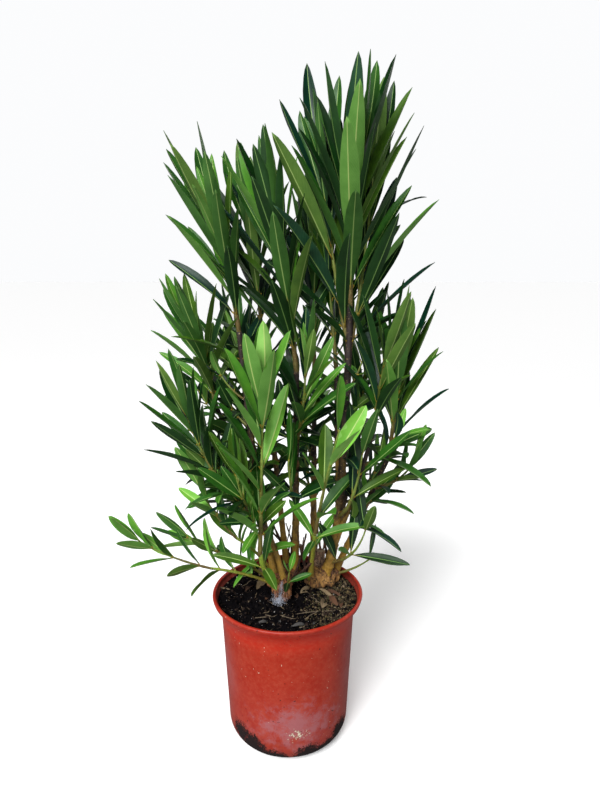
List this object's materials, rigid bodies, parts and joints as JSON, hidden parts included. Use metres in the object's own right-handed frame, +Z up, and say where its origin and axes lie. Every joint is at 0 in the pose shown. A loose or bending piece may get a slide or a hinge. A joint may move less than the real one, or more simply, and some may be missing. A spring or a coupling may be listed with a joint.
{
  "type": "potted oleander shrub",
  "caption": "Potted oleander shrub: upright stems with whorls of long narrow leaves, on woody stools in a round terracotta-coloured plastic nursery pot.",
  "frame": {"origin": "middle of the pot's flat underside", "axes": "+Z up, -Y towards the front, +X to the right seen from the front"},
  "size_m": [0.46, 0.3521, 0.9478],
  "materials": {
    "pot": "satin, faded and stained",
    "soil": "loose dark potting mix",
    "stools": "rough bark",
    "dead_wood": "weathered, sawn",
    "bark": "smooth olive-brown bark",
    "young_bark": "smooth green bark",
    "foliage": "leathery leaf",
    "young_foliage": "leathery leaf"
  },
  "bodies": {
    "root": {"dead_stub": "dead_wood", "front_left_leaves": "young_foliage", "front_left_stem": "young_bark", "front_right_leaves": "young_foliage", "front_right_stem": "young_bark", "left_inner_leaves": "foliage", "left_low_leaves": "young_foliage", "left_low_stem": "young_bark", "left_main_stem": "bark", "left_middle_leaves": "foliage", "left_outer_leaves": "foliage", "left_outer_stem": "bark", "left_rear_stem": "bark", "left_stool": "stools", "left_top_leaves": "foliage", "low_left_leaves": "young_foliage", "low_left_rear_leaves": "young_foliage", "low_left_rear_stem": "young_bark", "low_left_stem": "young_bark", "low_right_leaves": "foliage", "middle_front_leaves": "foliage", "middle_left_top_leaves": "foliage", "middle_low_leaves": "foliage", "middle_rear_stem": "bark", "middle_right_leaves": "foliage", "middle_right_stem": "bark", "middle_stem": "bark", "middle_top_leaves": "foliage", "pot": "pot", "rear_left_leaves": "foliage", "rear_left_stem": "bark", "rear_low_leaves": "foliage", "rear_low_left_leaves": "foliage", "rear_low_right_leaves": "foliage", "rear_right_leaves": "foliage", "rear_right_stem": "bark", "rear_stem": "bark", "rear_top_leaves": "foliage", "right_inner_leaves": "foliage", "right_inner_stem": "bark", "right_low_leaves": "foliage", "right_main_stem": "bark", "right_middle_leaves": "foliage", "right_outer_leaves": "foliage", "right_stem": "bark", "right_stool": "stools", "right_top_leaves": "foliage", "sawn_stub": "dead_wood", "soil": "soil", "stool_sprout_leaves": "young_foliage", "top_left_leaves": "foliage", "top_middle_leaves": "foliage", "top_right_leaves": "foliage"}
  },
  "joints": []
}
